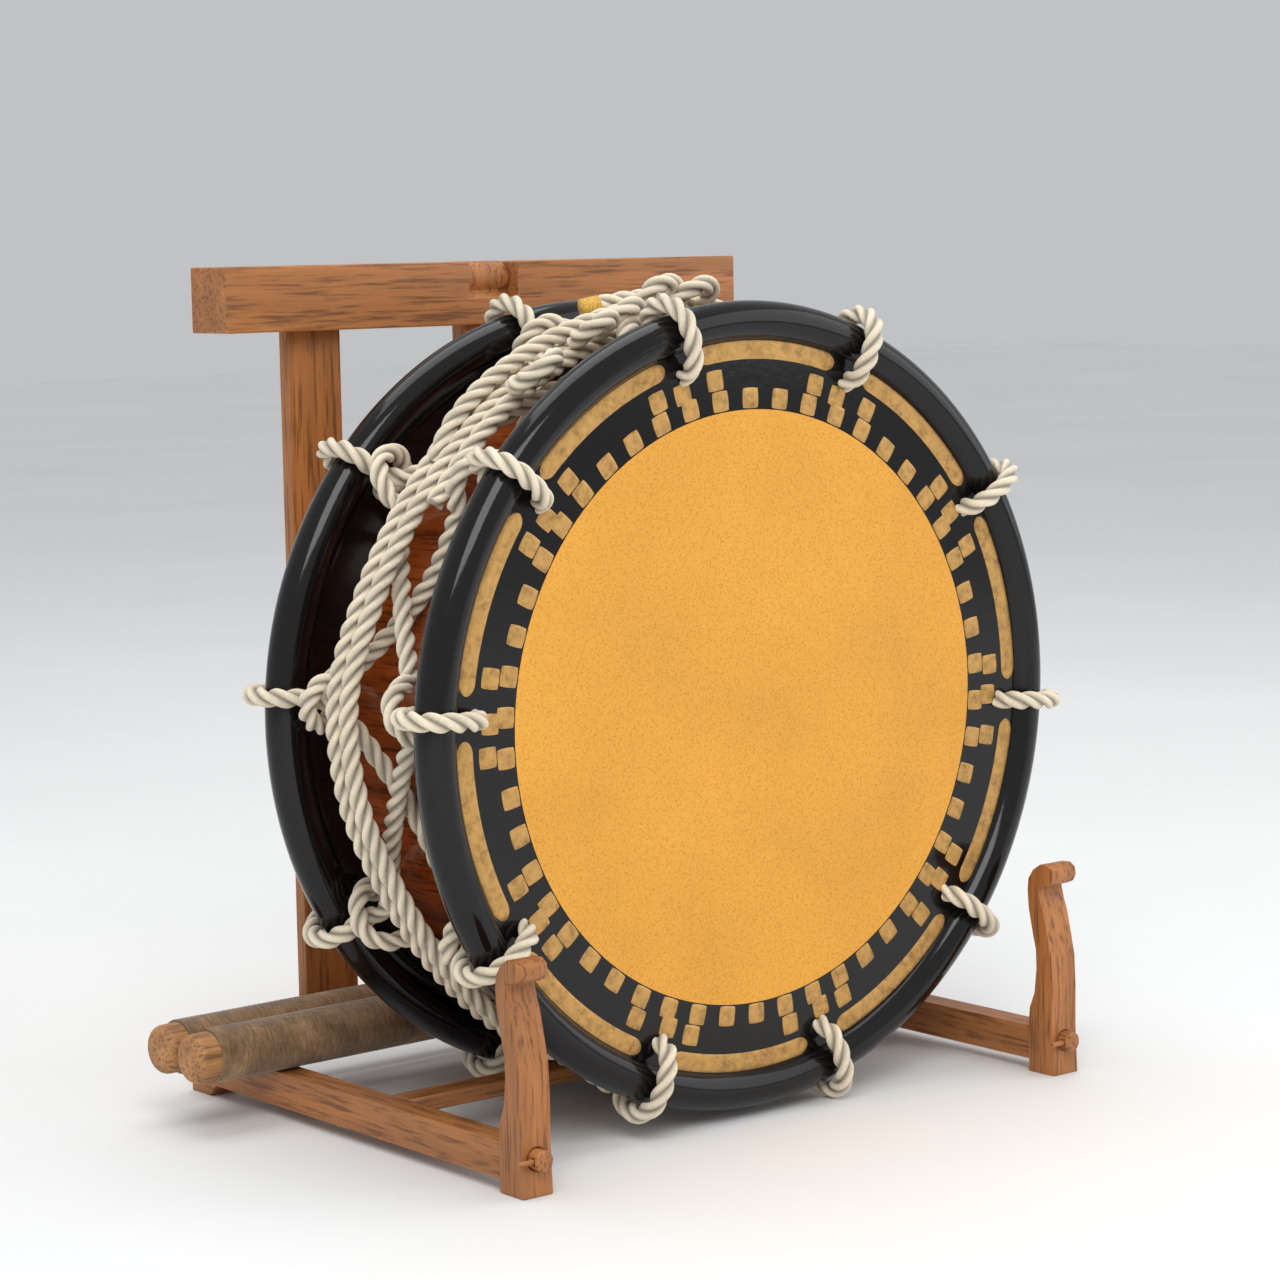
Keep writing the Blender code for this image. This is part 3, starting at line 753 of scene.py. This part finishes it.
def make_shell(material):
    """The bellied shell: a sine swell between its ends, with its bore."""
    half = (SHELL_HIGH[1] - SHELL_LOW[1]) / 2
    share = np.linspace(0.0, 1.0, SHELL_STEPS)
    outer = np.c_[SHELL_END_RADIUS + SHELL_BELLY * np.sin(np.pi * share), half - 2 * half * share]
    inner = outer[::-1] - np.array([SHELL_WALL, 0.0])
    profile = np.vstack([outer, inner, outer[:1]])
    points = turned_points(profile, DRUM_STEPS, CENTRE[1], 1)
    faces = grid_faces(len(profile), DRUM_STEPS, True)
    item = add_mesh("shell_surface", points, faces, material, ("drum_shell",), "drum")
    orient(item)


def stick_ends(name):
    """Two ends of a stick's axis and its radius, from its box and the corners at its ends."""
    low, high = (np.array(corner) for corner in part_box(name))
    corners = np.array([vertex.co[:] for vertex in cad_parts[name].data.vertices])
    left = corners[corners[:, 0] < low[0] + STICK_TIP].mean(axis=0)
    right = corners[corners[:, 0] > high[0] - STICK_TIP].mean(axis=0)
    direction = unit(right - left)
    middle = (low + high) / 2
    half = ((high[0] - low[0]) / 2) / direction[0]
    return middle - direction * half, middle + direction * half, (high[2] - low[2]) / 2


def make_stick_pieces(name, wood, cloth, body):
    """A turned stick with rounded ends, and a sleeve of cloth with closed edges."""
    start, end, radius = stick_ends(name)
    length = np.linalg.norm(end - start)
    direction = unit(end - start)

    def sweep(piece, reach, size, material, replaced, ripple):
        """Circles of the given sizes at the given reaches, rippled by crossing waves."""
        side = unit(np.cross(direction, (0.0, 0.0, 1.0)))
        around = even_angles(STICK_STEPS)
        waves = np.sin(reach[:, None] * 2600 + 3 * around) * np.cos(7 * around)
        points = rings(start + reach[:, None] * direction, side, np.cross(side, direction),
                       size[:, None] + ripple * waves, around)
        faces = grid_faces(len(reach), STICK_STEPS, True)
        close_poles(add_mesh(piece, points.reshape(-1, 3), faces, material, (replaced,), body))

    turn = np.linspace(0.0, np.pi / 2, 10)
    nose = NOSE_RADIUS * (1 - np.cos(turn))
    shoulder = radius - NOSE_RADIUS + NOSE_RADIUS * np.sin(turn)
    reach = np.r_[0.0, nose, length - nose[::-1], length]
    size = np.r_[0.0001, shoulder, shoulder[::-1], 0.0001]
    sweep(name + "_turned", reach, size, wood, name, 0.0)

    low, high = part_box(name + "_wrap")
    outer = (high[2] - low[2]) / 2
    inner = outer - WRAP_WALL
    along = np.linspace(WRAP_INSET, length - WRAP_INSET, WRAP_STEPS)
    back = along[::-1][::20]
    reach = np.r_[along[0], along, along[-1], back]
    size = np.r_[inner, np.full_like(along, outer - CLOTH_INSET), inner, np.full_like(back, inner)]
    sweep(name + "_cloth", reach, size, cloth, name + "_wrap", CLOTH_RIPPLE)


def eased_copy(name, material, edge, body):
    """A copy of a stand piece with merged corners and gently rounded edges."""
    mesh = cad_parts[name].data.copy()
    solid = bmesh.new()
    solid.from_mesh(mesh)
    bmesh.ops.remove_doubles(solid, verts=solid.verts, dist=0.00001)
    bmesh.ops.dissolve_limit(solid, angle_limit=math.radians(1.0), verts=solid.verts, edges=solid.edges)
    bmesh.ops.recalc_face_normals(solid, faces=solid.faces)
    solid.to_mesh(mesh)
    solid.free()
    mesh.materials.clear()
    mesh.materials.append(material)
    item = bpy.data.objects.new(name + "_eased", mesh)
    bpy.context.collection.objects.link(item)
    bevel = item.modifiers.new("edges", "BEVEL")
    bevel.width = edge
    bevel.segments = 3
    bevel.limit_method = "ANGLE"
    bevel.angle_limit = EDGE_ANGLE
    bevel.use_clamp_overlap = True
    mesh.shade_smooth()
    mesh.set_sharp_from_angle(angle=EDGE_ANGLE)
    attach(item, body)
    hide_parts(name)


# Operators

class DRUM_OT_heads(bpy.types.Operator):
    """Make both heads with their gold ornament"""
    bl_idname = "laced_drum.heads"
    bl_label = "Make Heads"

    def execute(self, context):
        colours = context.scene.laced_drum_colours
        finish = head_material(colours)
        gold = gold_material(colours)
        for name, depth, sign in (("front", 0.0, 1), ("back", RING_SPACING, -1)):
            make_head(name, FRONT_DEPTH + depth, sign, finish)
            make_gilding(name, FRONT_DEPTH + depth, sign, gold)
            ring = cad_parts[name + "_ring"]
            ring.data.materials.clear()
            ring.data.materials.append(iron_material())
        return {"FINISHED"}


class DRUM_OT_shell(bpy.types.Operator):
    """Make the varnished shell"""
    bl_idname = "laced_drum.shell"
    bl_label = "Make Shell"

    def execute(self, context):
        body = tuple(context.scene.laced_drum_colours.body)
        make_shell(wood_material("shell_varnish", body, Y_AXIS, roughness=0.22, coat=0.8, contrast=0.35))
        return {"FINISHED"}


class DRUM_OT_ropes(bpy.types.Operator):
    """Make the lacing ropes and the rope round the waist"""
    bl_idname = "laced_drum.ropes"
    bl_label = "Make Ropes"

    def execute(self, context):
        material = rope_material(context.scene.laced_drum_colours)
        lay = context.scene.laced_drum_sizes.lay
        routes = {"lacing_rope_a": lacing_route(True), "lacing_rope_b": lacing_route(False),
                  "waist_rope": winding_route()}
        for name, route in routes.items():
            make_rope(name, route, lay, material, (name,))
        make_knots(lay, material, thread_material())
        return {"FINISHED"}


class DRUM_OT_stand(bpy.types.Operator):
    """Ease the stand's edges and give its pieces their grain"""
    bl_idname = "laced_drum.stand"
    bl_label = "Make Stand"

    def execute(self, context):
        light = tuple(context.scene.laced_drum_colours.wood)
        edge = context.scene.laced_drum_sizes.edge
        woods = [
            wood_material("stand_grain_" + "xyz"[along], light, along, roughness=0.5, coat=0.0, contrast=0.60)
            for along in (X_AXIS, Y_AXIS, Z_AXIS)]
        for name, along in GRAIN.items():
            eased_copy(name, woods[along], edge, "stand")
        for name, body in PINS.items():
            eased_copy(name, woods[X_AXIS], edge * PIN_EDGE_SHARE, body)
        return {"FINISHED"}


class DRUM_OT_sticks(bpy.types.Operator):
    """Make the two sticks and their cloth"""
    bl_idname = "laced_drum.sticks"
    bl_label = "Make Sticks"

    def execute(self, context):
        bare = (0.55, 0.26, 0.09)
        wood = wood_material("stick_grain", bare, X_AXIS, roughness=0.6, coat=0.0, contrast=0.60)
        cloth = cloth_material(context.scene.laced_drum_colours)
        make_stick_pieces("front_stick", wood, cloth, "stick_one")
        make_stick_pieces("rear_stick", wood, cloth, "stick_two")
        return {"FINISHED"}


class DRUM_OT_stage(bpy.types.Operator):
    """Make the floor, the lamps and the camera"""
    bl_idname = "laced_drum.stage"
    bl_label = "Make Stage"

    def execute(self, context):
        make_floor()
        make_lamps()
        make_camera()
        return {"FINISHED"}


def make_floor():
    """A pale square sheet under the stand."""
    nodes = Nodes("pale_floor")
    faint = nodes.noise(nodes.place((1, 1, 1)), 2.0)
    nodes.colour(nodes.ramp(faint, (0.3, (0.80, 0.80, 0.79)), (0.7, (0.84, 0.84, 0.83))))
    nodes.set(Roughness=0.8)
    corners = [(x * FLOOR_REACH, y * FLOOR_REACH, 0) for x, y in ((-1, -1), (1, -1), (1, 1), (-1, 1))]
    mesh = bpy.data.meshes.new("floor")
    mesh.from_pydata(corners, [], [(0, 1, 2, 3)])
    mesh.materials.append(nodes.material)
    floor = bpy.data.objects.new("floor", mesh)
    bpy.context.collection.objects.link(floor)


def make_lamps():
    """Three soft lamps, and a world that lights evenly but is seen as a grey backdrop."""
    for name, (place, size, power) in LAMPS.items():
        light = bpy.data.lights.new(name, "AREA")
        light.size = size
        light.energy = power
        lamp = bpy.data.objects.new(name, light)
        lamp.location = place
        lamp.rotation_euler = (Vector(LAMP_AIM) - Vector(place)).to_track_quat("-Z", "Y").to_euler()
        bpy.context.collection.objects.link(lamp)
    world = bpy.data.worlds.new("studio")
    world.use_nodes = True
    tree = world.node_tree
    around = tree.nodes["Background"]
    around.inputs["Color"].default_value = SKY_COLOUR
    around.inputs["Strength"].default_value = SKY_STRENGTH
    seen = tree.nodes.new("ShaderNodeBackground")
    seen.inputs["Color"].default_value = BACKDROP_COLOUR
    rays = tree.nodes.new("ShaderNodeLightPath")
    choose = tree.nodes.new("ShaderNodeMixShader")
    tree.links.new(rays.outputs["Is Camera Ray"], choose.inputs[0])
    tree.links.new(around.outputs[0], choose.inputs[1])
    tree.links.new(seen.outputs[0], choose.inputs[2])
    tree.links.new(choose.outputs[0], tree.nodes["World Output"].inputs["Surface"])
    bpy.context.scene.world = world


def make_camera():
    """Looks along a yaw from +Y towards +X and a pitch down, then rolls about that line."""
    yaw, pitch = math.radians(CAMERA_YAW), math.radians(CAMERA_PITCH)
    data = bpy.data.cameras.new("camera")
    data.lens = CAMERA_LENS
    data.sensor_width = 36.0
    data.clip_start = 0.05
    camera = bpy.data.objects.new("camera", data)
    turn = Matrix.Rotation(-yaw, 4, "Z") @ Matrix.Rotation(math.pi / 2 - pitch, 4, "X")
    turn = turn @ Matrix.Rotation(math.radians(CAMERA_ROLL), 4, "Z")
    shift = Vector((CENTRE[0], FRONT_DEPTH, 0.0))
    camera.matrix_world = Matrix.Translation(Vector(CAMERA_PLACE) + shift) @ turn
    bpy.context.collection.objects.link(camera)
    bpy.context.scene.camera = camera
    bpy.context.scene.view_settings.view_transform = "Standard"


class DRUM_PT_panel(bpy.types.Panel):
    """Buttons for each group of pieces"""
    bl_idname = "DRUM_PT_panel"
    bl_label = "Laced Drum"
    bl_space_type = "VIEW_3D"
    bl_region_type = "UI"
    bl_category = "Laced Drum"

    def draw(self, context):
        for settings in (context.scene.laced_drum_colours, context.scene.laced_drum_sizes):
            for name in settings.bl_rna.properties.keys():
                if name not in ("rna_type", "name"):
                    self.layout.prop(settings, name)
        for operator in OPERATORS:
            self.layout.operator(operator.bl_idname)


OPERATORS = (DRUM_OT_stage, DRUM_OT_heads, DRUM_OT_shell, DRUM_OT_ropes, DRUM_OT_stand, DRUM_OT_sticks)
CLASSES = (LacedDrumColours, LacedDrumSizes) + OPERATORS + (DRUM_PT_panel,)


def register():
    for item in CLASSES:
        bpy.utils.register_class(item)
    bpy.types.Scene.laced_drum_colours = bpy.props.PointerProperty(type=LacedDrumColours)
    bpy.types.Scene.laced_drum_sizes = bpy.props.PointerProperty(type=LacedDrumSizes)


def unregister():
    del bpy.types.Scene.laced_drum_sizes
    del bpy.types.Scene.laced_drum_colours
    for item in reversed(CLASSES):
        bpy.utils.unregister_class(item)


def main():
    """Make everything."""
    register()
    bpy.ops.laced_drum.stage()
    bpy.ops.laced_drum.heads()
    bpy.ops.laced_drum.shell()
    bpy.ops.laced_drum.ropes()
    bpy.ops.laced_drum.stand()
    bpy.ops.laced_drum.sticks()


if __name__ == "__main__":
    main()
